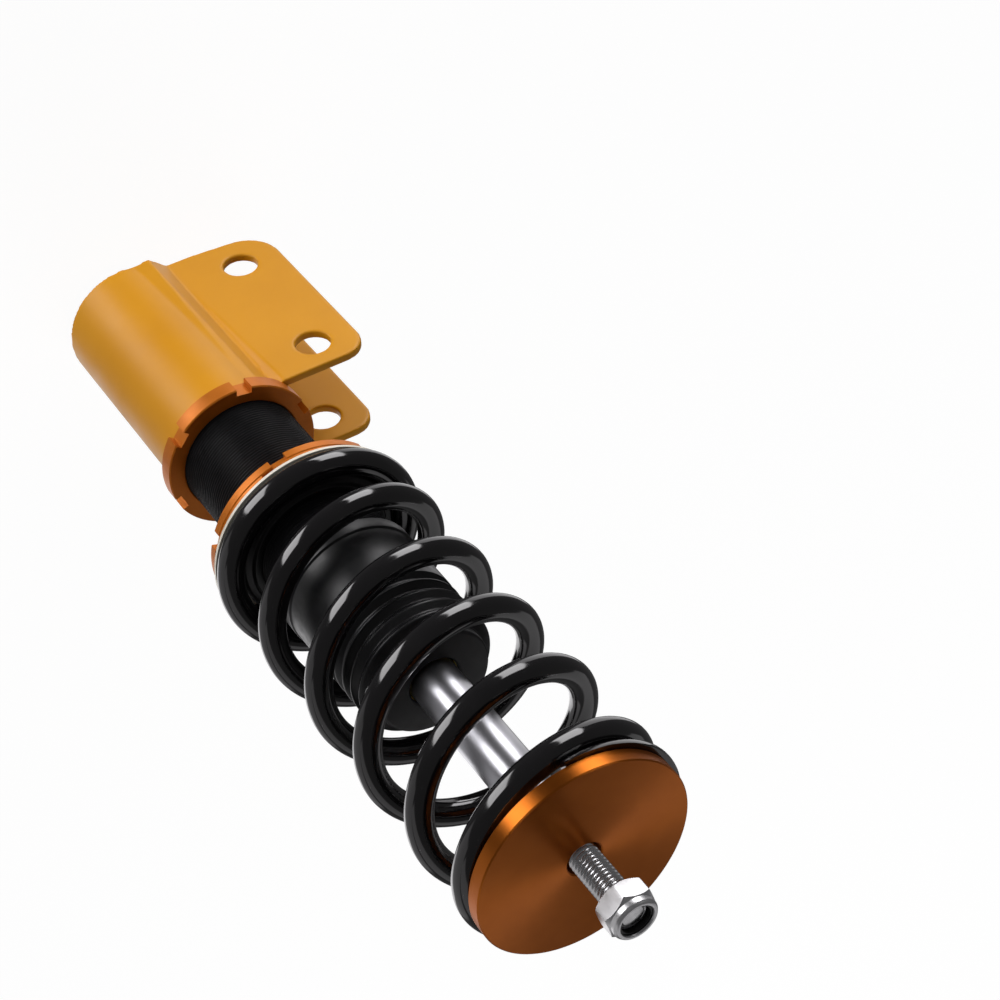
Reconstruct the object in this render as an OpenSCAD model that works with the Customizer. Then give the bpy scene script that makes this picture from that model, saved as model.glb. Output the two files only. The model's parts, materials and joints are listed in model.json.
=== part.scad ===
// Threaded-body suspension strut with a coil spring: the strut axis is Z, the knuckle ears
// point along +X, and Z = 0 is the top face of the upper spring seat. Sizes in millimetres.

/* [Spring] */
// Inside diameter of the coil spring
spring_id = 70.5; // [58:0.5:84]
// Wire diameter
wire_d = 11; // [8:0.1:13]
// Length of the fitted spring, perch washer to upper seat
spring_len = 194.5; // [150:0.5:235]
// Number of open coils between the two closed end coils
open_coils = 5.14; // [4:0.02:6]

/* [Upper seat and stud] */
// Outside diameter of the upper seat disc
seat_d = 88; // [76:0.5:110]
// Thickness of the upper seat disc
seat_t = 6.5; // [4:0.1:12]
// Hole in the upper seat disc
seat_hole = 14.5; // [13:0.1:18]
// Major diameter of the threaded stud
stud_d = 12; // [10:0.1:12.6]
// Thread pitch of the stud
stud_pitch = 1.75; // [1:0.05:2]
// Height of the lower face of the rod nut above the seat
nut_z = 21.3; // [4:0.1:40]
// Width across the flats of the rod nut
nut_af = 19; // [17:0.5:24]
// Height of the rod nut without its collar
nut_h = 8.2; // [6:0.1:14]
// Angle of a corner of the rod nut from the X axis
nut_clock = 44; // [0:1:60]

/* [Strut tube] */
// Outside diameter of the threaded strut tube
tube_d = 53; // [50:0.1:60]
// Wall thickness of the strut tube
tube_wall = 3; // [2:0.1:4]
// Height of the upper end of the strut tube
tube_top = -140; // [-150:0.5:-135]
// Height of the lower end of the strut tube
tube_bottom = -372; // [-390:0.5:-345]
// Thread pitch of the strut tube
tube_pitch = 1.5; // [1:0.1:2]

/* [Rings and perch] */
// Outside diameter of the perch and its lock ring
perch_d = 83; // [78:0.5:88]
// Thickness of the perch flange
perch_t = 4.2; // [3:0.1:10]
// Thickness of the perch lock ring
plock_t = 4.2; // [3:0.1:10]
// Outside diameter of the slip washer under the spring
washer_d = 88; // [84:0.5:96]
// Thickness of the slip washer
washer_t = 1.3; // [1:0.1:3]
// Wall of the threaded hub of the perch
hub_wall = 2; // [1.5:0.1:3]
// Height of the perch hub above the washer
hub_h = 6; // [3:0.1:10]
// Height of the ring that centres the spring
locator_h = 5; // [3:0.1:8]
// Outside diameter of the lower lock ring
lring_d = 68.2; // [63:0.1:80]
// Thickness of the lower lock ring
lring_t = 7.7; // [5:0.1:12]
// Height of the upper face of the lower lock ring
lring_top = -264.4; // [-300:0.1:-240]
// Spanner notches in each ring
notches = 6; // [4:1:8]
// Width of a spanner notch
notch_w = 7; // [4:0.1:10]
// Depth of a spanner notch
notch_dp = 3; // [1.5:0.1:4]

/* [Knuckle bracket] */
// Outside diameter of the bracket barrel
barrel_d = 58.6; // [57:0.1:66]
// Length of the bracket barrel
barrel_len = 104.5; // [90:0.5:130]
// Width of the slot between the two ears
slot_w = 38; // [30:0.5:44]
// Thickness of an ear
ear_t = 4; // [3:0.1:8]
// Distance from the strut axis to the free edge of the ears
ear_reach = 68.5; // [60:0.5:85]
// Distance from the strut axis to the knuckle bolt holes
bolt_x = 49; // [44:0.5:58]
// Height of the upper knuckle bolt
bolt_z_upper = -288; // [-295:0.5:-284]
// Distance between the two knuckle bolts
bolt_spacing = 69; // [50:0.5:72]
// Diameter of a knuckle bolt hole
bolt_hole = 15.5; // [12:0.1:18]
// Corner radius of the ears
ear_corner = 11; // [4:0.5:14]

/* [Dust boot and bump stop] */
// Outside diameter of the boot sleeve and its ribs
boot_d = 59.4; // [56:0.1:64]
// Wall of the boot
boot_wall = 2.2; // [1.4:0.1:2.6]
// Height of the top face of the boot
boot_top = -103.5; // [-112:0.5:-95]
// Height of the lower edge of the boot
boot_bottom = -172; // [-182:0.5:-160]
// Diameter of the plain upper end of the boot
boot_end_d = 48; // [42:0.5:54]
// Number of bellows ribs
boot_ribs = 4; // [2:1:5]
// Distance between the ribs
rib_pitch = 6.5; // [5:0.1:7.5]
// Outside diameter of the bump stop
bump_d = 38; // [30:0.5:40]

/* [Damper] */
// Diameter of the piston rod
rod_d = 20; // [16:0.5:22]
// Bore of the pressure tube
bore_d = 42; // [38:0.5:42.4]
// Wall of the pressure tube
ptube_wall = 2; // [1.5:0.1:2.2]
// Height of the piston
piston_h = 16; // [12:0.5:24]
// Length of the rebound stop on the rod
rebound_h = 18; // [8:0.5:24]
// Height of the middle of the floating piston
float_z = -318; // [-325:0.5:-312]

/* [Hidden] */

// radial clearance between two threaded pieces
thread_gap = 0.15;
// radial clearance of pieces that slide on each other
slide_gap = 0.1;
// radial clearance of pieces pushed together
push_gap = 0.05;
// clearance where two faces rest on each other
rest = 0.02;
eps = 0.5;
hi = 72;
mid = 48;

// strut tube and spring stations
tube_r = tube_d / 2;
tube_ir = tube_r - tube_wall;
spring_top = -seat_t - rest;
spring_bottom = -seat_t - spring_len + rest;
washer_top = -seat_t - spring_len;
washer_bottom = washer_top - washer_t;
perch_top = washer_bottom - rest;
perch_bottom = perch_top - perch_t;
plock_top = perch_bottom - rest;
locator_r = spring_id / 2 - 0.6;
thread_ir = tube_r + thread_gap;
hub_r = thread_ir + hub_wall;
boot_low = max(boot_bottom, washer_top + hub_h + 5);
// bracket
barrel_top = lring_top - lring_t - rest;
barrel_bottom = barrel_top - barrel_len;
barrel_r = barrel_d / 2;
slot_y = slot_w / 2;
ear_y = slot_y + ear_t;
bolt_z_lower = bolt_z_upper - bolt_spacing;
neck_x = barrel_r * 0.92;
// the pressed ridge beside each ear: crest and valley at the free end and at the ring end
crest_lo = [barrel_r * 0.455, barrel_r * 0.89 + 3.7];
crest_hi = [barrel_r * 0.575, barrel_r * 0.818 + 1.2];
valley_lo = [barrel_r * 0.715, ear_y + 0.2];
valley_hi = [barrel_r * 0.768, ear_y - 2.5];
// damper
ptube_r = bore_d / 2 + ptube_wall;
ptube_bottom = tube_bottom + 17;
gland_h = 9;
gland_top = tube_top + 2;
gland_bottom = gland_top - gland_h;
seal_h = 5;
guide_top = gland_bottom - rest;
guide_h = 22;
guide_bottom = guide_top - guide_h;
guide_skirt = 9;
ptube_top = guide_bottom + guide_skirt - rest;
rod_r = rod_d / 2;
rebound_top = guide_bottom - 0.5;
rwasher_t = 2;
rebound_bottom = rebound_top - rebound_h;
rwasher_bottom = rebound_bottom - rest - rwasher_t;
shim_t = 0.6;
shim_count = 3;
shims_h = shim_t * shim_count;
rshim_top = rwasher_bottom - rest;
piston_top = rshim_top - shims_h - rest;
piston_bottom = piston_top - piston_h;
cshim_top = piston_bottom - rest;
pnut_top = cshim_top - shims_h - rest;
pnut_h = 9;
tail_r = 6;
tail_end = pnut_top - pnut_h - 2;
band_t = 1.2;
band_h = piston_h * 0.6;
band_top = piston_top - (piston_h - band_h) / 2;
stud_top = nut_z + nut_h + 0.6;
float_h = 18;
collar_h = 3.4;
nut_r = nut_af / sqrt(3);
collar_r = nut_af / 2 - 0.4;

// a solid of revolution from a closed list of [radius, height] points
module turn(points, fn = mid) { rotate_extrude($fn = fn) polygon(points); }

// a plain ring
module ring(r_in, r_out, z0, z1, fn = mid) {
  turn([[r_in, z0], [r_out, z0], [r_out, z1], [r_in, z1]], fn);
}

// a ring with all four edges broken by a chamfer
module edged_ring(r_in, r_out, z0, z1, c, fn = hi) {
  turn([[r_in + c, z0], [r_out - c, z0], [r_out, z0 + c], [r_out, z1 - c],
    [r_out - c, z1], [r_in + c, z1], [r_in, z1 - c], [r_in, z0 + c]], fn);
}

// square spanner notches cut in the rim of a ring
module notch_cuts(r, z0, z1, turn_by = 0) {
  for (i = [0 : notches - 1]) rotate([0, 0, turn_by + i * 360 / notches])
    translate([r - notch_dp, -notch_w / 2, z0 - eps]) cube([notch_dp + eps * 4, notch_w, z1 - z0 + 2 * eps]);
}

// round-wire spring, closed and ground flat at both ends: the tip dives under the next coil
closed = 0.76;
ramp = 0.3;
coil_start = 215;
coils = open_coils + 2 * closed;
wire_r = wire_d / 2;
mean_r = spring_id / 2 + wire_r;
lead_lo = spring_bottom + wire_r + 0.6;
lead_hi = spring_top - wire_r - 0.6;
lead = (lead_hi - lead_lo) / (open_coils - ramp);
dive = wire_d * 1.03 - lead * (1 - closed) * (1 - closed) / (2 * ramp);
coil_steps = 34;
wire_sides = 12;
function coil_z(n) = let(m = n - closed, k = coils - closed - n)
  m < 0 ? lead_lo - dive * pow(m / closed, 2)
  : k < 0 ? lead_hi + dive * pow(k / closed, 2)
  : m < ramp ? lead_lo + lead * m * m / (2 * ramp)
  : k < ramp ? lead_hi - lead * k * k / (2 * ramp)
  : lead_lo + lead * (m - ramp / 2);
// one point of the wire section, moved onto the ground face where the wire would pass it
function wire_point(n, w) = let(
    a = coil_start + 360 * n, c = coil_z(n), z = c + wire_r * sin(w),
    cut = z < spring_bottom ? spring_bottom : z > spring_top ? spring_top : z,
    half = cut == z ? wire_r : sqrt(max(0.01, wire_r * wire_r - (cut - c) * (cut - c))),
    r = mean_r + half * cos(w))
  [r * cos(a), r * sin(a), cut];
module coil_wire() {
  count = round(coils * coil_steps);
  points = [for (i = [0 : count]) for (j = [0 : wire_sides - 1])
    wire_point(i * coils / count, 360 * (j + 0.5) / wire_sides)];
  sides = [for (i = [0 : count - 1]) for (j = [0 : wire_sides - 1])
    let(k = (j + 1) % wire_sides, a = i * wire_sides, b = a + wire_sides)
      [a + j, a + k, b + k, b + j]];
  first = [[for (j = [wire_sides - 1 : -1 : 0]) j]];
  last = [[for (j = [0 : wire_sides - 1]) count * wire_sides + j]];
  polyhedron(points = points, faces = concat(sides, first, last), convexity = 12);
}

// flat pattern of one ear, in X and Z
module ear_shape() {
  low = ear_corner * 1.55;
  hull() {
    translate([ear_reach - ear_corner, barrel_top - ear_corner]) circle(ear_corner, $fn = 32);
    translate([ear_reach - low, barrel_bottom + 1.5 + low]) circle(low, $fn = 32);
    translate([neck_x - 0.5, barrel_bottom]) square([8, barrel_len]);
  }
}

// a solid that runs from one outline at the free end of the barrel to another at the ring end
module tapered(low, high) {
  hull() {
    translate([0, 0, barrel_bottom]) linear_extrude(0.1) polygon(low);
    translate([0, 0, barrel_top - 0.1]) linear_extrude(0.1) polygon(high);
  }
}

// one side of the bracket: pressed ridge, neck and ear
module bracket_side() {
  tapered([[crest_lo[0] - 7.5, slot_y], [crest_lo[0] - 7.5, crest_lo[1] - 1.2], crest_lo, valley_lo,
      [valley_lo[0], slot_y]],
    [[crest_hi[0] - 5, slot_y], [crest_hi[0] - 4, crest_hi[1] + 0.9], crest_hi, valley_hi,
      [valley_hi[0], slot_y - 1]]);
  tapered([[neck_x - 7, slot_y - 1], [neck_x - 6.5, ear_y], [neck_x, ear_y], [neck_x, slot_y]],
    [[neck_x - 7, slot_y - 1], [valley_hi[0], valley_hi[1] - 0.1], [neck_x, ear_y], [neck_x, slot_y]]);
  translate([0, ear_y, 0]) rotate([90, 0, 0]) linear_extrude(ear_t) ear_shape();
}

module knuckle_bracket() color([0.84, 0.58, 0.16]) difference() {
  union() {
    translate([0, 0, barrel_bottom]) cylinder(r = barrel_r, h = barrel_len, $fn = hi);
    bracket_side();
    mirror([0, 1, 0]) bracket_side();
  }
  translate([0, 0, barrel_bottom - eps]) cylinder(r = thread_ir, h = barrel_len + 2 * eps, $fn = hi);
  // the bore is opened out a little at both ends
  translate([0, 0, barrel_bottom - eps])
    cylinder(r1 = thread_ir + 1, r2 = thread_ir, h = 1.2 + eps, $fn = hi);
  translate([0, 0, barrel_top - 1.2]) cylinder(r1 = thread_ir, r2 = thread_ir + 1.2, h = 1.2 + eps, $fn = hi);
  for (z = [bolt_z_upper, bolt_z_lower]) translate([bolt_x, ear_y + eps, z])
    rotate([90, 0, 0]) cylinder(d = bolt_hole, h = 2 * ear_y + 2 * eps, $fn = mid);
}

module lower_lock_ring() color([0.82, 0.45, 0.12]) difference() {
  edged_ring(thread_ir, lring_d / 2, lring_top - lring_t, lring_top, 0.5);
  notch_cuts(lring_d / 2, lring_top - lring_t, lring_top, 20.8);
}

module strut_tube() color([0.1, 0.1, 0.11]) difference() {
  edged_ring(tube_ir, tube_r, tube_bottom, tube_top, 0.5);
}

module pressure_tube() color([0.62, 0.63, 0.65]) ring(bore_d / 2, ptube_r, ptube_bottom, ptube_top);

module base_plug() color([0.5, 0.51, 0.53]) difference() {
  r = tube_ir - thread_gap;
  turn([[0, tube_bottom + 1], [r - 1, tube_bottom + 1], [r, tube_bottom + 2], [r, ptube_bottom - 2],
    [r - 0.5, ptube_bottom - rest], [bore_d / 2 - push_gap * 2, ptube_bottom - rest],
    [bore_d / 2 - push_gap * 2, ptube_bottom + 1.5], [bore_d / 2 - 1.9, ptube_bottom + 1.5],
    [bore_d / 2 - 1.9, ptube_bottom + 4.1], [bore_d / 2 - push_gap * 2, ptube_bottom + 4.1],
    [bore_d / 2 - push_gap * 2, ptube_bottom + 6], [0, ptube_bottom + 6]]);
  translate([0, 0, tube_bottom - eps]) cylinder(r = 4 + thread_gap, h = 8 + eps, $fn = mid);
  translate([0, 0, tube_bottom]) cylinder(d = 2, h = 40, $fn = 24);
  for (i = [0 : 1]) rotate([0, 0, 180 * i]) translate([15, 0, tube_bottom - eps]) cylinder(d = 5, h = 6, $fn = 24);
}

module base_seal() color([0.08, 0.08, 0.08])
  translate([0, 0, ptube_bottom + 2.8]) rotate_extrude($fn = mid) translate([bore_d / 2 - 1.05, 0]) circle(0.8, $fn = 14);

module gas_screw() color([0.7, 0.68, 0.62]) difference() {
  turn([[0, tube_bottom + 1.6], [3.4, tube_bottom + 1.6], [4, tube_bottom + 2.2], [4, tube_bottom + 7.6],
    [0, tube_bottom + 7.6]], 32);
  translate([0, 0, tube_bottom]) cylinder(d = 4, h = 4.4, $fn = 6);
}

module floating_piston() color([0.75, 0.76, 0.78]) difference() {
  r = bore_d / 2 - slide_gap;
  z0 = float_z - float_h / 2;
  turn([[0, z0 + 9], [r - 4, z0 + 9], [r - 4, z0], [r - 0.6, z0], [r, z0 + 0.6], [r, float_z - 1.8],
    [r - 2, float_z - 1.8], [r - 2, float_z + 1.8], [r, float_z + 1.8], [r, z0 + float_h - 0.6],
    [r - 0.6, z0 + float_h], [0, z0 + float_h]]);
}

module floating_piston_seal() color([0.08, 0.08, 0.08]) translate([0, 0, float_z]) rotate_extrude($fn = mid)
  translate([bore_d / 2 - slide_gap - 0.95, 0]) circle(0.95, $fn = 14);

module rod_guide() color([0.72, 0.73, 0.75]) difference() {
  r = tube_ir - slide_gap;
  inner = bore_d / 2 - slide_gap;
  bush_r = rod_r + 1.6 + push_gap;
  seal_r = rod_r + 5 + push_gap;
  turn([[rod_r + 0.6, guide_bottom], [inner, guide_bottom], [inner, ptube_top + rest], [r, ptube_top + rest],
    [r, guide_top - 8], [r - 1.9, guide_top - 8], [r - 1.9, guide_top - 5.4], [r, guide_top - 5.4],
    [r, guide_top], [seal_r, guide_top], [seal_r, guide_top - seal_h - rest],
    [bush_r, guide_top - seal_h - rest], [bush_r, guide_bottom + 2], [rod_r + 0.6, guide_bottom + 2]]);
}

module gland_seal() color([0.08, 0.08, 0.08]) translate([0, 0, guide_top - 6.7]) rotate_extrude($fn = mid)
  translate([tube_ir - slide_gap - 0.98, 0]) circle(0.85, $fn = 14);

module guide_bush() color([0.72, 0.56, 0.3])
  ring(rod_r + slide_gap / 2, rod_r + 1.6, guide_bottom + 2 + rest, guide_top - seal_h - 2 * rest);

module oil_seal() color([0.1, 0.09, 0.09]) {
  z = guide_top - seal_h;
  turn([[rod_r + slide_gap / 2, z + 2], [rod_r + 1.2, z], [rod_r + 5, z], [rod_r + 5, z + seal_h - rest],
    [rod_r + 2, z + seal_h - rest], [rod_r + 1, z + 3.2], [rod_r + slide_gap / 2, z + 2.6]]);
}

module gland_nut() color([0.35, 0.35, 0.37]) difference() {
  r = tube_ir - thread_gap;
  turn([[rod_r + 1, gland_bottom], [r, gland_bottom], [r, tube_top + rest], [tube_r - 1, tube_top + rest],
    [tube_r - 1, gland_top], [rod_r + 1, gland_top]]);
  for (i = [0 : 3]) rotate([0, 0, 90 * i]) translate([(rod_r + tube_ir) / 2, 0, gland_top - 4])
    cylinder(d = 5, h = 6, $fn = 20);
}

// thin moulded sleeve over the strut tube with bellows ribs and a plain end
module dust_boot() color([0.07, 0.07, 0.075]) {
  r = boot_d / 2;
  top_rib = boot_top - 7.5;
  low_rib = top_rib - rib_pitch * (boot_ribs - 1);
  root = r - 3.4;
  w = boot_wall;
  fold = w * 0.9;
  outer = [for (i = [0 : boot_ribs - 1]) let(z = low_rib + i * rib_pitch)
    each [[root, z - rib_pitch * 0.5], [r - 0.5, z - 0.9], [r - 0.5, z + 0.9]]];
  inner = [for (i = [boot_ribs - 1 : -1 : 0]) let(z = low_rib + i * rib_pitch)
    each [[root - fold, z + rib_pitch * 0.5], [r - 0.5 - fold * 1.25, z], [root - fold, z - rib_pitch * 0.5]]];
  turn(concat([[tube_r + push_gap * 4, boot_low], [r, boot_low], [r, low_rib - rib_pitch * 0.5 - 1.5]], outer,
    [[boot_end_d / 2, top_rib + rib_pitch * 0.5], [boot_end_d / 2, boot_top - 0.8], [boot_end_d / 2 - 0.8, boot_top],
     [rod_r + 0.6, boot_top], [rod_r + 0.6, boot_top - w], [boot_end_d / 2 - w, boot_top - w]], inner,
    [[tube_r + push_gap * 4, low_rib - rib_pitch * 0.5 - 1.5]]));
}

module bump_stop() color([0.85, 0.78, 0.35]) {
  r = bump_d / 2;
  z0 = gland_top + rest;
  z1 = boot_top - boot_wall - rest;
  h = z1 - z0;
  waist = r * 0.82;
  turn([[rod_r + 0.5, z0], [r, z0], [r, z0 + h * 0.16], [waist, z0 + h * 0.22], [r, z0 + h * 0.28],
    [r, z0 + h * 0.44], [waist, z0 + h * 0.5], [r * 0.97, z0 + h * 0.56], [r * 0.93, z0 + h * 0.72],
    [waist * 0.95, z0 + h * 0.78], [r * 0.84, z0 + h * 0.84], [r * 0.74, z1], [rod_r + 0.5, z1]]);
}

module perch_lock_ring() color([0.82, 0.45, 0.12]) difference() {
  edged_ring(thread_ir, perch_d / 2, plock_top - plock_t, plock_top, 0.4);
  notch_cuts(perch_d / 2, plock_top - plock_t, plock_top, 40.5);
}

module spring_perch() color([0.85, 0.48, 0.13]) difference() {
  turn([[thread_ir, perch_bottom], [perch_d / 2 - 0.4, perch_bottom], [perch_d / 2, perch_bottom + 0.4],
    [perch_d / 2, perch_top - 0.4], [perch_d / 2 - 0.4, perch_top], [hub_r, perch_top],
    [hub_r, washer_top + hub_h - 0.6], [hub_r - 0.6, washer_top + hub_h],
    [thread_ir, washer_top + hub_h]], hi);
  notch_cuts(perch_d / 2, perch_bottom, perch_top, 48);
}

module perch_washer() color([0.9, 0.88, 0.8]) ring(hub_r + 0.3, washer_d / 2, washer_bottom, washer_top, hi);

// ring that centres the spring on the hub of the perch
module spring_locator() color([0.05, 0.05, 0.055]) turn([[hub_r + slide_gap, washer_top + rest],
  [locator_r, washer_top + rest], [locator_r, washer_top + locator_h - 1.4],
  [locator_r - 1.4, washer_top + locator_h], [hub_r + slide_gap, washer_top + locator_h]]);

module main_spring() color([0.05, 0.05, 0.055]) coil_wire();

module piston_band() color([0.2, 0.2, 0.2])
  ring(bore_d / 2 - slide_gap - band_t, bore_d / 2 - slide_gap / 2, band_top - band_h, band_top);

// chromed rod: piston tail below, shouldered threaded stud above
module piston_rod() color([0.85, 0.86, 0.88]) {
  s = stud_d / 2;
  turn([[0, tail_end], [tail_r - 0.8, tail_end], [tail_r, tail_end + 0.8], [tail_r, rebound_bottom],
    [rod_r, rebound_bottom], [rod_r, -seat_t - 1.2 - rest], [rod_r - 0.9, -seat_t - rest],
    [s, -seat_t - rest], [s, stud_top - 0.8], [s - 0.8, stud_top], [0, stud_top]]);
}

module rebound_stop() color([0.15, 0.15, 0.16]) {
  r = rod_r + push_gap;
  turn([[r, rebound_bottom], [rod_r + 6, rebound_bottom], [rod_r + 6.5, rebound_top - 2],
    [rod_r + 5, rebound_top], [r, rebound_top]]);
}

module rebound_washer() color([0.6, 0.6, 0.62])
  ring(tail_r + push_gap, rod_r + 7, rwasher_bottom, rebound_bottom - rest);

// a stack of thin discs, widest against the piston
module shims(z_piston, dir) {
  for (i = [0 : shim_count - 1]) {
    a = z_piston + dir * i * shim_t;
    ring(tail_r + push_gap, bore_d / 2 - 4 - 2.5 * i, min(a, a + dir * shim_t), max(a, a + dir * shim_t));
  }
}

module rebound_shims() color([0.7, 0.72, 0.76]) shims(piston_top + rest, 1);

module compression_shims() color([0.7, 0.72, 0.76]) shims(cshim_top, -1);

module piston() color([0.66, 0.67, 0.7]) difference() {
  r = bore_d / 2 - slide_gap * 2;
  g = band_h / 2 + rest * 2;
  zc = band_top - band_h / 2;
  rb = bore_d / 2 - slide_gap - band_t - push_gap;
  turn([[tail_r + push_gap, piston_bottom], [r - 1, piston_bottom], [r, piston_bottom + 1], [r, zc - g], [rb, zc - g],
    [rb, zc + g], [r, zc + g], [r, piston_top - 1], [r - 1, piston_top], [tail_r + push_gap, piston_top]]);
  for (i = [0 : 5]) rotate([0, 0, 60 * i]) translate([(tail_r + rb) / 2 + 1, 0, piston_bottom - eps])
    cylinder(d = 4, h = piston_h + 2 * eps, $fn = 16);
}

module hex_nut(r, h, bore, c, z) {
  translate([0, 0, z]) difference() {
    intersection() {
      cylinder(r = r, h = h, $fn = 6);
      turn([[0, 0], [r - c, 0], [r + eps / 2, c * 0.62], [r + eps / 2, h - c * 0.62], [r - c, h], [0, h]]);
    }
    translate([0, 0, -eps]) cylinder(r = bore, h = h + 2 * eps, $fn = mid);
  }
}

module piston_nut() color([0.6, 0.6, 0.62]) hex_nut(18 / sqrt(3), pnut_h, tail_r + thread_gap, 1.2, pnut_top - pnut_h);

module upper_spring_seat() color([0.72, 0.38, 0.14]) edged_ring(seat_hole / 2, seat_d / 2, -seat_t, 0, 0.5);

module rod_nut() color([0.78, 0.79, 0.81]) {
  rotate([0, 0, nut_clock]) hex_nut(nut_r, nut_h, stud_d / 2 + thread_gap, 1.4, nut_z);
  z = nut_z + nut_h;
  turn([[collar_r - 1.3, z - 0.2], [collar_r, z - 0.2], [collar_r, z + collar_h - 1.2],
    [collar_r - 0.8, z + collar_h], [collar_r - 2.2, z + collar_h], [collar_r - 2.2, z + collar_h - 0.7],
    [collar_r - 1.3, z + collar_h - 0.9]]);
}

module nut_insert() color([0.06, 0.06, 0.065])
  ring(stud_d / 2 + push_gap, collar_r - 1.3 - push_gap, nut_z + nut_h + rest, nut_z + nut_h + collar_h - 1);

knuckle_bracket();
lower_lock_ring();
strut_tube();
pressure_tube();
base_plug();
base_seal();
gas_screw();
floating_piston();
floating_piston_seal();
rod_guide();
guide_bush();
oil_seal();
gland_nut();
gland_seal();
dust_boot();
bump_stop();
perch_lock_ring();
spring_perch();
perch_washer();
spring_locator();
main_spring();
piston_band();
piston_rod();
rebound_stop();
rebound_washer();
rebound_shims();
piston();
compression_shims();
piston_nut();
upper_spring_seat();
nut_insert();
rod_nut();
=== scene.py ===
import json
import math

import bmesh
import bpy
from mathutils import Euler, Matrix, Vector


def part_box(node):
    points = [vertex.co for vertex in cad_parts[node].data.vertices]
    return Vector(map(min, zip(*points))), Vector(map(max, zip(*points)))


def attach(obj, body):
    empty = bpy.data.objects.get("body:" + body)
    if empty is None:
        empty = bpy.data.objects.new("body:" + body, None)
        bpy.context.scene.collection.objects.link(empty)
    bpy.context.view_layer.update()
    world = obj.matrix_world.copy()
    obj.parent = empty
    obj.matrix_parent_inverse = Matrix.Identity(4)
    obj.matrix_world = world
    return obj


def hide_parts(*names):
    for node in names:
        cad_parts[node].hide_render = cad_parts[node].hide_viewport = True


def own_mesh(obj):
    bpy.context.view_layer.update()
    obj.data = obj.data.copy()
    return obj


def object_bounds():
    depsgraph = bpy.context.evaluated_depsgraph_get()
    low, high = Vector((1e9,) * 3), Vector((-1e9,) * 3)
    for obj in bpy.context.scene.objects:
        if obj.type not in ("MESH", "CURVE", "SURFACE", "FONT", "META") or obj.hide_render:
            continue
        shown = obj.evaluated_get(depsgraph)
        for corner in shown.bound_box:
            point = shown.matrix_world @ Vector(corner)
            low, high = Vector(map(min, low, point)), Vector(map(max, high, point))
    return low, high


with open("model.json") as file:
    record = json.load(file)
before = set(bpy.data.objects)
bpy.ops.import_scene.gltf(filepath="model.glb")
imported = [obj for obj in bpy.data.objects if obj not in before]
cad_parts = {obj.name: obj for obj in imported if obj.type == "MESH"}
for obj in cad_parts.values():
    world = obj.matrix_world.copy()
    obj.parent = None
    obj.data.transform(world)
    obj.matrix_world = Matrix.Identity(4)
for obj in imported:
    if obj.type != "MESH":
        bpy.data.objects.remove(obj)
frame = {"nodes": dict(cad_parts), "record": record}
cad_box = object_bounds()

MM = 0.001
TAU = 2 * math.pi


# ---------------------------------------------------------------- materials
def node(tree, kind, **values):
    """A new node, with its settings or socket values by name."""
    n = tree.nodes.new(kind)
    for key, value in values.items():
        if hasattr(n, key):
            setattr(n, key, value)
        else:
            n.inputs[key].default_value = value
    return n


def ramp(tree, source, stops):
    """A colour ramp over a value, from (place, colour) stops."""
    r = tree.nodes.new("ShaderNodeValToRGB")
    while len(r.color_ramp.elements) < len(stops):
        r.color_ramp.elements.new(0.5)
    for e, (at, colour) in zip(r.color_ramp.elements, stops):
        e.position = at
        e.color = (*colour, 1) if len(colour) == 3 else colour
    tree.links.new(source, r.inputs["Fac"])
    return r.outputs["Color"]


def grey(v):
    """The colour with this value in all three channels."""
    return (v, v, v)


def surface(name, colours, rough, metallic=0.0, grain=60.0, stretch=(1, 1, 1), bump=0.05, bump_grain=900.0,
            bump_stretch=(1, 1, 1), bump_depth=0.0001, spec=0.5):
    """Mottled colour, a roughness that wanders between two values, and a fine bump, in object space."""
    m = bpy.data.materials.new(name)
    m.use_nodes = True
    t = m.node_tree
    t.nodes.clear()
    out = node(t, "ShaderNodeOutputMaterial")
    p = node(t, "ShaderNodeBsdfPrincipled")
    t.links.new(p.outputs[0], out.inputs[0])
    p.inputs["Metallic"].default_value = metallic
    p.inputs["Specular IOR Level"].default_value = spec
    co = node(t, "ShaderNodeTexCoord")
    mp = node(t, "ShaderNodeMapping")
    mp.inputs["Scale"].default_value = stretch
    t.links.new(co.outputs["Object"], mp.inputs[0])
    n1 = node(t, "ShaderNodeTexNoise")
    n1.inputs["Scale"].default_value = grain
    n1.inputs["Detail"].default_value = 5
    n1.inputs["Roughness"].default_value = 0.6
    t.links.new(mp.outputs[0], n1.inputs["Vector"])
    stops = [(0.3 + 0.4 * i / (len(colours) - 1), c) for i, c in enumerate(colours)]
    colour = ramp(t, n1.outputs["Fac"], stops)
    t.links.new(colour, p.inputs["Base Color"])
    n2 = node(t, "ShaderNodeTexNoise")
    n2.inputs["Scale"].default_value = grain * 2.3
    n2.inputs["Detail"].default_value = 3
    t.links.new(mp.outputs[0], n2.inputs["Vector"])
    dull = ramp(t, n2.outputs["Fac"], [(0.32, grey(rough[0])), (0.68, grey(rough[1]))])
    t.links.new(dull, p.inputs["Roughness"])
    mb = node(t, "ShaderNodeMapping")
    mb.inputs["Scale"].default_value = bump_stretch
    t.links.new(co.outputs["Object"], mb.inputs[0])
    n4 = node(t, "ShaderNodeTexNoise")
    n4.inputs["Scale"].default_value = bump_grain
    n4.inputs["Detail"].default_value = 2
    t.links.new(mb.outputs[0], n4.inputs["Vector"])
    b = node(t, "ShaderNodeBump")
    b.inputs["Strength"].default_value = bump
    b.inputs["Distance"].default_value = bump_depth
    t.links.new(n4.outputs["Fac"], b.inputs["Height"])
    t.links.new(b.outputs[0], p.inputs["Normal"])
    return m


def shader_of(material):
    """The material's principled shader."""
    return next(n for n in material.node_tree.nodes if n.type == "BSDF_PRINCIPLED")


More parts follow.
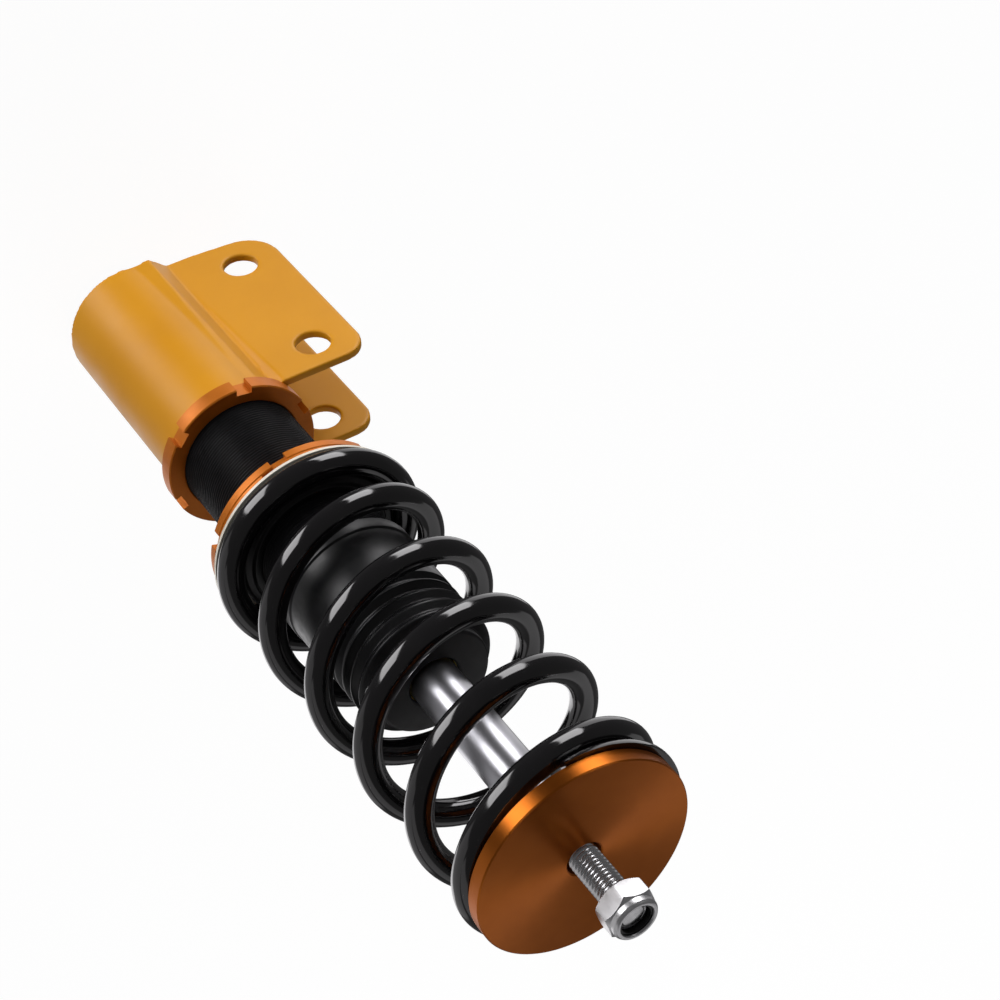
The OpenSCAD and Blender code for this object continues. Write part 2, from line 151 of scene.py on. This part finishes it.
def stretch_gloss(material, amount, rotation=0.0):
    """Gloss drawn out round the strut axis, or across it at a quarter turn."""
    p = shader_of(material)
    p.inputs["Anisotropic"].default_value = amount
    p.inputs["Anisotropic Rotation"].default_value = rotation
    round_axis = node(material.node_tree, "ShaderNodeTangent", direction_type="RADIAL", axis="Z")
    material.node_tree.links.new(round_axis.outputs[0], p.inputs["Tangent"])


def turned(name, colours, rough, ring=2600.0, metallic=1.0, **more):
    """A lathe-turned face: a surface with fine rings about the strut axis in its bump."""
    m = surface(name, colours, rough, metallic=metallic, **more)
    t = m.node_tree
    p = shader_of(m)
    co = next(n for n in t.nodes if n.type == "TEX_COORD")
    flat = node(t, "ShaderNodeVectorMath", operation="MULTIPLY")
    flat.inputs[1].default_value = (1, 1, 0)
    t.links.new(co.outputs["Object"], flat.inputs[0])
    dist = node(t, "ShaderNodeVectorMath", operation="LENGTH")
    t.links.new(flat.outputs[0], dist.inputs[0])
    n = node(t, "ShaderNodeTexNoise", noise_dimensions="1D")
    n.inputs["Scale"].default_value = ring
    n.inputs["Detail"].default_value = 2
    t.links.new(dist.outputs["Value"], n.inputs["W"])
    b = node(t, "ShaderNodeBump")
    b.inputs["Strength"].default_value = 0.12
    b.inputs["Distance"].default_value = 0.00005
    t.links.new(n.outputs["Fac"], b.inputs["Height"])
    old = p.inputs["Normal"].links[0].from_socket
    t.links.new(old, b.inputs["Normal"])
    t.links.new(b.outputs[0], p.inputs["Normal"])
    return m


gold = surface("gold_paint", [(0.545, 0.232, 0.007), (0.568, 0.245, 0.008), (0.592, 0.258, 0.009)],
               (0.38, 0.47), grain=22, bump=0.08, bump_grain=500, bump_depth=0.00008, spec=0.26)
# the second gold, lighter than the paint, is a painted highlight for bevelled edge faces
gold_highlight_edge = surface("gold_paint_highlight_edge", [(0.55, 0.235, 0.014), (0.64, 0.30, 0.03)],
                    (0.36, 0.46), grain=90, spec=0.35)
orange = surface("orange_anodised", [(0.44, 0.120, 0.006), (0.49, 0.136, 0.008), (0.54, 0.152, 0.010)],
                 (0.36, 0.46), metallic=0.4, grain=70, bump=0.06, bump_grain=1500, bump_stretch=(1, 1, 6),
                 spec=0.3)
# the second orange, lighter than the anodising, is a painted highlight on the bevelled chamfers
orange_highlight_edge = surface("orange_anodised_highlight_edge", [(0.54, 0.18, 0.016), (0.66, 0.25, 0.03)],
                      (0.34, 0.44), metallic=0.45, grain=160)
disc_face = turned("bronze_anodised", [(0.54, 0.146, 0.018), (0.59, 0.163, 0.020), (0.64, 0.180, 0.022)],
                   (0.40, 0.45), grain=25, bump=0.03)
# the second bronze, darker than the face, is painted shade on the seat's bevelled edges
disc_shade_edge = surface("bronze_anodised_shade_edge", [(0.34, 0.10, 0.012), (0.44, 0.14, 0.018)],
                    (0.28, 0.36), metallic=0.9, grain=200)
tube_black = surface("black_thread", [(0.005, 0.005, 0.0055), (0.010, 0.010, 0.011)],
                     (0.38, 0.52), grain=220, bump=0.10, bump_grain=1600, spec=0.18)
spring_black = surface("black_spring", [(0.0025, 0.0022, 0.0026), (0.0045, 0.004, 0.0045)],
                       (0.075, 0.12), bump=0.03, bump_grain=230, bump_depth=0.00008, spec=0.85)
cream = surface("washer_cream", [(0.60, 0.56, 0.47), (0.70, 0.66, 0.57)], (0.35, 0.5), grain=150)
boot_black = surface("boot_rubber", [(0.0040, 0.0040, 0.0045), (0.0075, 0.0075, 0.008)],
                     (0.33, 0.44), grain=120, bump=0.10, bump_grain=1100, spec=0.42)
foam = surface("bump_foam", [(0.60, 0.48, 0.12), (0.74, 0.62, 0.22)],
               (0.7, 0.9), grain=260, bump=0.4, bump_grain=1500)
chrome = surface("rod_chrome", [(0.46, 0.46, 0.49), (0.54, 0.54, 0.57)],
                 (0.28, 0.34), metallic=1.0, grain=90, stretch=(1, 1, 0.25), bump=0.02, bump_grain=2600,
                 bump_stretch=(1, 1, 0.2))
stud_steel = surface("stud_steel", [(0.70, 0.70, 0.71), (0.76, 0.76, 0.77)],
                     (0.16, 0.20), metallic=1.0, grain=300, bump=0.02)
zinc = surface("zinc_steel", [(0.74, 0.74, 0.75), (0.82, 0.82, 0.83)],
               (0.29, 0.36), metallic=1.0, grain=120, bump=0.03, bump_grain=400)
# the second zinc is lighter and glossier: its lighter colour is a painted highlight on the nut's bevelled
# edges
zinc_highlight_edge = surface("zinc_steel_highlight_edge", [(0.80, 0.81, 0.82), (0.92, 0.92, 0.92)],
                    (0.16, 0.24), metallic=1.0, grain=260)
steel = turned("plain_steel", [(0.42, 0.42, 0.43), (0.56, 0.56, 0.57)], (0.25, 0.38), grain=140)
alu = turned("plain_alu", [(0.62, 0.63, 0.65), (0.74, 0.75, 0.77)], (0.26, 0.38), grain=140)
bronze = turned("bush_bronze", [(0.48, 0.30, 0.11), (0.60, 0.40, 0.17)], (0.28, 0.4), grain=160)
nylon = surface("nylon_black", [(0.005, 0.005, 0.005), (0.010, 0.010, 0.010)],
                (0.30, 0.42), grain=300, bump=0.06)
seal = surface("seal_rubber", [(0.008, 0.008, 0.008), (0.014, 0.014, 0.014)],
               (0.45, 0.6), grain=260, bump=0.12)
ptfe = surface("ptfe_band", [(0.05, 0.05, 0.052), (0.09, 0.09, 0.092)],
               (0.4, 0.55), grain=260, bump=0.08)

# the disc's gloss runs across its turned rings, and the stud's runs along its thread
stretch_gloss(disc_face, 0.9, rotation=0.25)
stretch_gloss(stud_steel, 0.75)

# each second material goes on bevelled edges: a painted highlight, and on the bronze seat painted shade
by_slot = {
    "gold_paint": (gold, gold_highlight_edge),
    "orange_anodised": (orange, orange_highlight_edge),
    "bronze_anodised": (disc_face, disc_shade_edge),
    "zinc_steel": (zinc, zinc_highlight_edge),
    "black_thread": (tube_black,),
    "black_spring": (spring_black,),
    "washer_cream": (cream,),
    "boot_rubber": (boot_black,),
    "bump_foam": (foam,),
    "rod_chrome": (chrome,),
    "plain_steel": (steel,),
    "plain_alu": (alu,),
    "bush_bronze": (bronze,),
    "nylon_black": (nylon,),
    "seal_rubber": (seal,),
    "ptfe_band": (ptfe,),
}
slots = {s["node"]: s["material_slot"] for s in frame["record"]["subparts"]}
for name, o in frame["nodes"].items():
    mats = by_slot[slots[name]]
    o.data.materials.clear()
    for m in mats:
        o.data.materials.append(m)


# ---------------------------------------------------------------- mesh helpers
def low(name):
    """The low corner of a CAD node's box, in millimetres."""
    return [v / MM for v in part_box(name)[0]]


def high(name):
    """The high corner of a CAD node's box, in millimetres."""
    return [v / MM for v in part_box(name)[1]]


def finish_mesh(name, bm, mats, body, smooth_under=35.0):
    """A smooth-shaded object from a mesh in metres, riding on its body."""
    bmesh.ops.recalc_face_normals(bm, faces=bm.faces)
    limit = math.radians(smooth_under)
    for f in bm.faces:
        f.smooth = True
    for e in bm.edges:
        e.smooth = len(e.link_faces) == 2 and e.calc_face_angle(0) < limit
    me = bpy.data.meshes.new(name)
    bm.to_mesh(me)
    bm.free()
    o = bpy.data.objects.new(name, me)
    bpy.context.scene.collection.objects.link(o)
    for m in mats:
        me.materials.append(m)
    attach(o, body)
    return o


def rounded(points, radii, steps=5):
    """A closed outline with its corners rounded: points and radii in millimetres."""
    out = []
    count = len(points)
    for i, (p, r) in enumerate(zip(points, radii)):
        p = Vector(p)
        a = Vector(points[i - 1]) - p
        b = Vector(points[(i + 1) % count]) - p
        if r <= 0:
            out.append(tuple(p))
            continue
        half = a.angle(b) / 2
        d = min(r / math.tan(half), a.length * 0.49, b.length * 0.49)
        p0, p1 = p + a.normalized() * d, p + b.normalized() * d
        for k in range(steps + 1):
            s = k / steps
            q = p0 * (1 - s) ** 2 + p * (2 * s * (1 - s)) + p1 * s ** 2
            out.append(tuple(q))
    return out


def ring_point(r, angle, z):
    """A point in metres from a radius, an angle and a height in millimetres."""
    return (r * MM * math.cos(angle), r * MM * math.sin(angle), z * MM)


def lathe_into(bm, outline, segments=144, closed=True, material=0):
    """Faces of revolution from (radius, height) points in millimetres, joined end to end when closed."""
    rows = []
    for r, z in outline:
        if r < 1e-6:
            rows.append([bm.verts.new((0, 0, z * MM))] * segments)
        else:
            rows.append([bm.verts.new(ring_point(r, TAU * i / segments, z)) for i in range(segments)])
    pairs = list(zip(rows, rows[1:])) + ([(rows[-1], rows[0])] if closed else [])
    for a, b in pairs:
        for i in range(segments):
            j = (i + 1) % segments
            ring = []
            for v in (a[i], a[j], b[j], b[i]):
                if v not in ring:
                    ring.append(v)
            if len(ring) > 2:
                f = bm.faces.new(ring)
                f.material_index = material


def thread_into(bm, r_major, pitch, z0, z1, depth, columns=96, samples=6, crest=0.22, material=0,
                rolled=False):
    """Right-hand screw thread between two heights, with cut flanks or a rolled wave."""
    rows_up = int(math.ceil((z1 - z0) / pitch)) * samples
    grid = []

    def radius(theta, z):
        s = ((z - z0) / pitch - theta / TAU) % 1.0
        d = abs(s - 0.5) * 2
        if rolled:
            cut = 0.5 - 0.5 * math.cos(math.pi * d)
        else:
            cut = max(0.0, min(1.0, (d - crest) / (1 - 2 * crest)))
        return r_major - depth * cut

    for row in range(-samples, rows_up + 1):
        line = []
        for c in range(columns + 1):
            theta = TAU * c / columns
            z = min(z1, max(z0, z0 + pitch * row / samples + pitch * c / columns))
            line.append(bm.verts.new(ring_point(radius(theta, z), theta, z)))
        grid.append(line)
    for a, b in zip(grid, grid[1:]):
        for c in range(columns):
            q = (a[c], a[c + 1], b[c + 1], b[c])
            if len({round(v.co.z, 9) for v in q}) == 1:
                continue
            f = bm.faces.new(q)
            f.material_index = material
    bmesh.ops.remove_doubles(bm, verts=[v for line in grid for v in line if v.is_valid], dist=2e-6)
    loose = [v for v in bm.verts if not v.link_faces]
    bmesh.ops.delete(bm, geom=loose, context="VERTS")


def bevel(o, width, angle=28.0):
    """Rounds the sharp edges, with the second material on them, which paints a highlight along them
    (painted shade on the bronze seat).
    """
    m = o.modifiers.new("edges", "BEVEL")
    m.width = width * MM
    m.segments = 2
    m.limit_method = "ANGLE"
    m.angle_limit = math.radians(angle)
    m.material = 1
    m.use_clamp_overlap = True
    m.harden_normals = False


# ---------------------------------------------------------------- fits shared by several pieces
REST = 0.02  # the small gap between faces that lie on each other
tube_r = high("strut_tube")[0]
STUD_R = 6.0
STUD_PITCH = 1.75


# ---------------------------------------------------------------- strut tube with its thread
def strut_tube():
    """A threaded tube with a plain stretch at its upper end."""
    bottom, top = low("strut_tube")[2], high("strut_tube")[2]
    wall, pitch, depth = 3.0, 1.5, 0.75
    inner = tube_r - wall
    root = tube_r - depth
    plain = tube_r - 0.4  # the unthreaded stretch under the boot
    thread_lo, thread_hi = bottom + 2.0, top - 26.0
    bm = bmesh.new()
    thread_into(bm, tube_r, pitch, thread_lo, thread_hi, depth, columns=96, samples=5)
    lathe_into(bm, [(root, thread_hi), (plain, thread_hi + 1.2), (plain, top - 0.6), (tube_r - 0.9, top),
                    (inner, top), (inner, bottom), (tube_r - 1.2, bottom), (root, thread_lo)],
               closed=False, segments=96)
    return bm


tube = finish_mesh("strut_tube_threaded", strut_tube(), [tube_black], "strut_body")
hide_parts("strut_tube")

# ---------------------------------------------------------------- spring
sb, st = low("main_spring")[2], high("main_spring")[2]  # its bottom and its top
WIRE_R = 5.5
INSIDE_R = 35.25
mean_r = INSIDE_R + WIRE_R
CLOSED_N, OPEN_N, RAMP_N = 0.76, 5.14, 0.3  # turns that are closed at each end, open, and ramp between
START_DEG = 215.0
coils = OPEN_N + 2 * CLOSED_N
lift = 0.6  # the wire clears the ground face by this where the open turns begin
lead_lo, lead_hi = sb + WIRE_R + lift, st - WIRE_R - lift
lead = (lead_hi - lead_lo) / (OPEN_N - RAMP_N)
tip_apart = WIRE_R * 2 * 1.03  # the wire's tip lies this far from the next turn, centre to centre
dive = tip_apart - lead * (1 - CLOSED_N) ** 2 / (2 * RAMP_N)


def coil_z(n):
    """Height of the wire's centre after n turns: closed ends, short ramps and an even lead."""
    m, k = n - CLOSED_N, coils - CLOSED_N - n
    if m < 0:
        return lead_lo - dive * (m / CLOSED_N) ** 2
    if k < 0:
        return lead_hi + dive * (k / CLOSED_N) ** 2
    if m < RAMP_N:
        return lead_lo + lead * m * m / (2 * RAMP_N)
    if k < RAMP_N:
        return lead_hi - lead * k * k / (2 * RAMP_N)
    return lead_lo + lead * (m - RAMP_N / 2)


def coil_spring():
    """Round wire along the coils, with both ends ground flat."""
    bm = bmesh.new()
    count, sides = 720, 32
    rows = []
    for i in range(count + 1):
        n = coils * i / count
        a = math.radians(START_DEG) + TAU * n
        c = coil_z(n)
        row = []
        for j in range(sides):
            w = TAU * (j + 0.5) / sides
            z = c + WIRE_R * math.sin(w)
            cut = min(st, max(sb, z))
            half = WIRE_R if cut == z else math.sqrt(max(0.01, WIRE_R ** 2 - (cut - c) ** 2))
            row.append(bm.verts.new(ring_point(mean_r + half * math.cos(w), a, cut)))
        rows.append(row)
    for a, b in zip(rows, rows[1:]):
        for j in range(sides):
            k = (j + 1) % sides
            bm.faces.new((a[j], a[k], b[k], b[j]))
    for row in (rows[0], rows[-1]):
        bm.faces.new(row)
    return bm


spring = finish_mesh("coil_spring", coil_spring(), [spring_black], "spring_stack",
                     smooth_under=40)
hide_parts("main_spring")
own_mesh(spring)


# ---------------------------------------------------------------- dust boot
def dust_boot():
    """A moulded sleeve with a plain skirt, ribs and a narrow mouth round the rod."""
    bottom, top = low("dust_boot")[2], high("dust_boot")[2]
    boot_r = high("dust_boot")[0]
    end_r = 24.0
    mouth_r = 10.7
    root_r = boot_r - 3.4
    wall = 2.2
    ribs, pitch = 4, 6.5
    top_rib = top - 7.5
    low_rib = top_rib - pitch * (ribs - 1)
    below = low_rib - pitch * 0.5  # the root under the lowest rib
    crests = [low_rib + i * pitch for i in range(ribs)]
    outer, radii = [], []

    def add(points, r):
        outer.extend(points)
        radii.extend([r] * len(points))

    # outside, from the plain skirt up over the ribs
    add([(tube_r + 0.2, bottom)], 0.2)
    add([(boot_r - 0.1, bottom)], 0.6)
    add([(boot_r - 0.1, bottom + 6), (boot_r - 0.7, bottom + 6.8), (boot_r - 0.7, below - 2)], 0.5)
    for z in crests:
        add([(root_r, z - pitch * 0.5)], 1.1)
        add([(boot_r - 0.3, z)], 1.3)
    add([(end_r, top_rib + pitch * 0.5)], 0.8)
    add([(end_r, top)], 1.6)
    # the mouth round the rod, and down the inside
    add([(mouth_r + 0.9, top)], 0.5)
    add([(mouth_r, top - 0.8), (mouth_r, top - wall), (end_r - wall, top - wall)], 0.3)
    for z in reversed(crests):
        add([(root_r - 2.0, z + pitch * 0.5), (boot_r - 3.0, z)], 0.8)
    add([(root_r - 2.0, below), (tube_r + 0.2, below - 2.0)], 0.5)
    bm = bmesh.new()
    lathe_into(bm, rounded(outer, radii, 6), segments=160)
    return bm


boot = finish_mesh("dust_boot_moulded", dust_boot(), [boot_black], "strut_body",
                   smooth_under=50)
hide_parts("dust_boot")


# ---------------------------------------------------------------- rod with its threaded stud
def piston_rod():
    """The rod with its narrow tail, its shoulder and the threaded stud."""
    bottom, top = low("piston_rod")[2], high("piston_rod")[2]
    rod_r = high("piston_rod")[0]
    shoulder = low("upper_spring_seat")[2] - REST
    tail_r = 6.0
    tail_top = high("rebound_washer")[2]
    depth = 0.92
    neck = STUD_R - 0.9  # the outline ends inside the stud's thread
    outline = [(0, bottom), (tail_r - 0.8, bottom), (tail_r, bottom + 0.8), (tail_r, tail_top),
               (rod_r, tail_top), (rod_r, shoulder - 1.2), (rod_r - 0.9, shoulder), (neck, shoulder)]
    bm = bmesh.new()
    lathe_into(bm, rounded(outline, [0, 0.2, 0.2, 0, 0.3, 0.3, 0.2, 0], 3), closed=False, segments=160)
    thread_into(bm, STUD_R, STUD_PITCH, shoulder, top - 1.0, depth, columns=80, samples=12, material=1,
                rolled=True)
    # the stud's chamfered and slightly domed end
    stud_end = [(STUD_R - depth - 0.01, top - 1.0), (STUD_R - 1.2, top - 0.5), (STUD_R - 1.7, top - 0.1),
                (2.5, top - 0.03), (0, top)]
    lathe_into(bm, stud_end, closed=False, segments=64, material=1)
    return bm


rod = finish_mesh("piston_rod_threaded", piston_rod(), [chrome, stud_steel], "rod",
                  smooth_under=32)
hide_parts("piston_rod")


# ---------------------------------------------------------------- locknut with its crimped collar
NUT_CLOCK_DEG = 44
NUT_BEVEL = 0.14


def nut_profile(bottom, top, flats, corner):
    """The nut's turned outline: bore, chamfered hexagon and crimped collar."""
    collar_high = 3.4
    collar_r = 9.1
    chamfer_slope = 0.78
    hex_top = top - collar_high
    bore = STUD_R + 0.15
    out = corner + 0.3  # past the corners, so that only the chamfers cut them
    lip_r = collar_r - 1.35
    chamfer_low = bottom + (out - flats + 0.2) * chamfer_slope
    chamfer_high = hex_top - (out - collar_r - 0.5) * chamfer_slope
    return rounded([(bore, bottom + 0.8), (bore + 0.8, bottom), (flats - 0.2, bottom),
                    (out, chamfer_low), (out, chamfer_high),
                    (collar_r + 0.5, hex_top - 0.05), (collar_r, hex_top + 0.3), (collar_r, top - 1.2),
                    (collar_r - 0.8, top), (collar_r - 2.0, top), (collar_r - 2.3, top - 0.8),
                    (lip_r, top - 1.0), (lip_r, hex_top + REST), (bore, hex_top + REST)],
                   [0.1, 0.1, 0.2, 0, 0, 0.5, 0.3, 1.0, 0.8, 0.3, 0.1, 0.1, 0.1, 0.1], 4)


def hexagon_prism(bottom, top, corner, clock):
    """A six-sided prism with slightly rounded edges, its first corner at the clock angle."""
    turns = [clock + TAU * i / 6 for i in range(6)]
    outline = rounded([(corner * math.cos(a), corner * math.sin(a)) for a in turns], [0.5] * 6, 4)
    bm = bmesh.new()
    foot = [bm.verts.new((x * MM, y * MM, bottom * MM)) for x, y in outline]
    head = [bm.verts.new((x * MM, y * MM, top * MM)) for x, y in outline]
    bm.faces.new(foot)
    bm.faces.new(head)
    for i in range(len(foot)):
        j = (i + 1) % len(foot)
        bm.faces.new((foot[i], foot[j], head[j], head[i]))
    return bm


def common_part(solids):
    """What two closed meshes share, as one mesh."""
    pair = []
    for solid in solids:
        bmesh.ops.recalc_face_normals(solid, faces=solid.faces)
        me = bpy.data.meshes.new("nut_part")
        solid.to_mesh(me)
        solid.free()
        o = bpy.data.objects.new("nut_part", me)
        bpy.context.scene.collection.objects.link(o)
        pair.append(o)
    cut = pair[0].modifiers.new("cut", "BOOLEAN")
    cut.operation = "INTERSECT"
    cut.solver = "EXACT"
    cut.object = pair[1]
    bpy.context.view_layer.update()
    done = pair[0].evaluated_get(bpy.context.evaluated_depsgraph_get())
    bm = bmesh.new()
    bm.from_mesh(done.to_mesh())
    bmesh.ops.remove_doubles(bm, verts=bm.verts, dist=3e-6)
    for o in pair:
        me = o.data
        bpy.data.objects.remove(o)
        bpy.data.meshes.remove(me)
    return bm


def locknut():
    """A hexagon prism cut to a turned outline: chamfered corners, collar and bore in one."""
    bottom, top = low("rod_nut")[2], high("rod_nut")[2]
    flats = 9.5  # half the width across flats
    corner = flats / math.cos(math.pi / 6)
    turned_part = bmesh.new()
    lathe_into(turned_part, nut_profile(bottom, top, flats, corner), segments=180)
    prism = hexagon_prism(bottom - 1, top + 1, corner, clock=math.radians(NUT_CLOCK_DEG))
    return common_part((turned_part, prism))


nut = finish_mesh("locknut_crimped", locknut(), [zinc, zinc_highlight_edge], "nut", smooth_under=24)
# the bevel lays the lighter zinc along the nut's edges as a painted highlight
bevel(nut, NUT_BEVEL, angle=24)
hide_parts("rod_nut")


# ---------------------------------------------------------------- spring locator with a lip over the hub
def spring_locator():
    """A ring round the perch's hub with a lip over the hub's top."""
    bottom, top = low("spring_locator")[2], high("spring_locator")[2]
    outer = high("spring_locator")[0]
    inner, lip_inner = 28.75, 26.75
    hub_top = high("spring_perch")[2]
    lip_top = hub_top + 0.75
    outline = [(inner, bottom), (outer, bottom), (outer, top - 1.4), (outer - 1.6, top), (30.6, top + 0.2),
               (29.6, lip_top), (lip_inner, lip_top), (lip_inner, hub_top + REST), (inner, hub_top + REST)]
    bm = bmesh.new()
    lathe_into(bm, rounded(outline, [0.1, 0.2, 0.7, 0.8, 0.8, 0.5, 0.2, 0.1, 0.1], 4), segments=128)
    return bm


locator = finish_mesh("spring_locator_lipped", spring_locator(), [nylon], "spring_stack",
                      smooth_under=50)
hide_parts("spring_locator")

# ---------------------------------------------------------------- CAD nodes that stay, with softened edges
bracket = frame["nodes"]["knuckle_bracket"]
# a fine remesh and a light smoothing give the bracket its pressed and painted look
skin = bracket.modifiers.new("pressed", "REMESH")
skin.mode = "VOXEL"
skin.voxel_size = 0.75 * MM
skin.use_smooth_shade = True
soft = bracket.modifiers.new("soften", "SMOOTH")
soft.factor = 0.5
soft.iterations = 2
RING_BEVEL = 0.16
SEAT_BEVEL = 0.12
# the bevels lay the edge materials on: painted highlights on the rings and perch, painted shade on the
# seat's edges
for name in ("lower_lock_ring", "perch_lock_ring", "spring_perch"):
    bevel(frame["nodes"][name], RING_BEVEL)
bevel(frame["nodes"]["upper_spring_seat"], SEAT_BEVEL)

# ---------------------------------------------------------------- stage
# azimuth, elevation, half widths in degrees and brightness of each light box round the strut
LIGHT_BOXES = [
    (52, -20, 12, 23, 5.0),
    (132, -30, 12, 29, 4.7),
    (0, -46, 28, 12, 1.00),
    (215, -22, 38, 30, 0.34),
    (266, -44, 22, 14, 1.25),
    (262, 30, 66, 14, 0.36),
]
floor_z = cad_box[0][2] - 0.004  # metres, a little under the bracket
bpy.ops.mesh.primitive_plane_add(size=30, location=(0, 0, floor_z))
floor = bpy.context.object
floor.name = "studio_floor"
fm = bpy.data.materials.new("studio_floor")
fm.use_nodes = True
ft = fm.node_tree
fp = ft.nodes["Principled BSDF"]
fp.inputs["Base Color"].default_value = (0.12, 0.12, 0.12, 1)
fp.inputs["Roughness"].default_value = 1.0
fp.inputs["Specular IOR Level"].default_value = 0.0
fp.inputs["Emission Color"].default_value = (1, 1, 1, 1)
fp.inputs["Emission Strength"].default_value = 0.95
# seen by the camera only, so that the light boxes below it still reach the strut
seen = node(ft, "ShaderNodeLightPath")
clear = node(ft, "ShaderNodeBsdfTransparent")
pick = node(ft, "ShaderNodeMixShader")
ft.links.new(seen.outputs["Is Camera Ray"], pick.inputs[0])
ft.links.new(clear.outputs[0], pick.inputs[1])
ft.links.new(fp.outputs[0], pick.inputs[2])
ft.links.new(pick.outputs[0], ft.nodes["Material Output"].inputs[0])
floor.data.materials.append(fm)

world = bpy.data.worlds.new("studio")
bpy.context.scene.world = world
world.use_nodes = True
wt = world.node_tree
bg = wt.nodes["Background"]
bg.inputs["Strength"].default_value = 1.0
ray = node(wt, "ShaderNodeTexCoord").outputs["Generated"]


def calc(kind, a, b=None, clamp=False):
    """A step of arithmetic in the world's tree, on numbers or sockets."""
    n = node(wt, "ShaderNodeMath", operation=kind, use_clamp=clamp)
    for i, v in enumerate((a, b)):
        if v is None:
            continue
        if isinstance(v, (int, float)):
            n.inputs[i].default_value = v
        else:
            wt.links.new(v, n.inputs[i])
    return n.outputs[0]


def along(direction):
    """How far the looked-at direction goes along this one."""
    n = node(wt, "ShaderNodeVectorMath", operation="DOT_PRODUCT")
    wt.links.new(ray, n.inputs[0])
    n.inputs[1].default_value = direction
    return n.outputs["Value"]


def aim(az, el):
    """The direction at an azimuth and an elevation in degrees."""
    az, el = math.radians(az), math.radians(el)
    return Vector((math.cos(az) * math.cos(el), math.sin(az) * math.cos(el), math.sin(el)))


def light_box(az, el, half_az, half_el, radiance, soft=0.08):
    """A bright rectangle in one direction of the surroundings, with soft edges."""
    c = aim(az, el)
    right = Vector((0, 0, 1)).cross(c).normalized()
    over = c.cross(right)
    depth = calc("MAXIMUM", along(c), 0.02)
    mask = None
    for side, half in ((right, half_az), (over, half_el)):
        t = math.tan(math.radians(half))
        reach = calc("ABSOLUTE", calc("DIVIDE", along(side), depth))
        edge = calc("MULTIPLY", calc("SUBTRACT", t * (1 + soft), reach), 1 / (2 * soft * t), clamp=True)
        mask = edge if mask is None else calc("MULTIPLY", mask, edge)
    return calc("MULTIPLY", mask, radiance)


glow = 0.10  # the dim surroundings between the boxes
for box in LIGHT_BOXES:
    glow = calc("ADD", light_box(*box), glow)
tone = node(wt, "ShaderNodeCombineColor")
wt.links.new(glow, tone.inputs[0])
wt.links.new(calc("MULTIPLY", glow, 0.985), tone.inputs[1])
wt.links.new(glow, tone.inputs[2])
path = node(wt, "ShaderNodeLightPath")
shown = node(wt, "ShaderNodeMix", data_type="RGBA")
wt.links.new(path.outputs["Is Camera Ray"], shown.inputs[0])
wt.links.new(tone.outputs[0], shown.inputs[6])
shown.inputs[7].default_value = (0.96, 0.96, 0.965, 1)
wt.links.new(shown.outputs[2], bg.inputs["Color"])

# the photograph's viewpoint, fitted to the disc, the rings and the ears
CAMERA_PLACE = (-0.273393, 0.646596, 0.455664)
CAMERA_TURN_DEG = (-39.97173, -31.55534, -3.71809)
LENS_MM = 85.106
camera_data = bpy.data.cameras.new("camera")
camera_data.sensor_width = 36
camera_data.lens = LENS_MM
camera_data.clip_start = 0.02
camera = bpy.data.objects.new("camera", camera_data)
bpy.context.scene.collection.objects.link(camera)
turn = Euler([math.radians(a) for a in CAMERA_TURN_DEG]).to_matrix()
camera.matrix_world = Matrix.Translation(CAMERA_PLACE) @ turn.to_4x4()
bpy.context.scene.camera = camera


def picture_dir(right, up, toward):
    """A direction given as right, up and toward the camera in the picture, turned into the shared frame."""
    return (turn @ Vector((right, up, toward))).normalized()


def softbox(name, direction, distance, size, watts, target, size_y=None):
    """An area light looking at the target from a direction, sizes and distance in metres."""
    data = bpy.data.lights.new(name, "AREA")
    data.shape = "RECTANGLE"
    data.size = size
    data.size_y = size_y or size
    data.energy = watts
    o = bpy.data.objects.new(name, data)
    bpy.context.scene.collection.objects.link(o)
    o.location = Vector(target) + direction * distance
    o.rotation_euler = direction.to_track_quat("Z", "Y").to_euler()
    return o


middle = (0, 0, -0.17)  # near the strut's middle
for fill in (softbox("key", picture_dir(-0.55, 0.55, 0.75), 1.3, 0.9, 5, middle, size_y=0.6),
             softbox("top", picture_dir(0.35, 0.95, 0.35), 1.3, 1.2, 3, middle),
             softbox("back", aim(285, 35), 1.4, 1.0, 4, middle)):
    fill.visible_glossy = False

bpy.context.scene.view_settings.view_transform = "Standard"
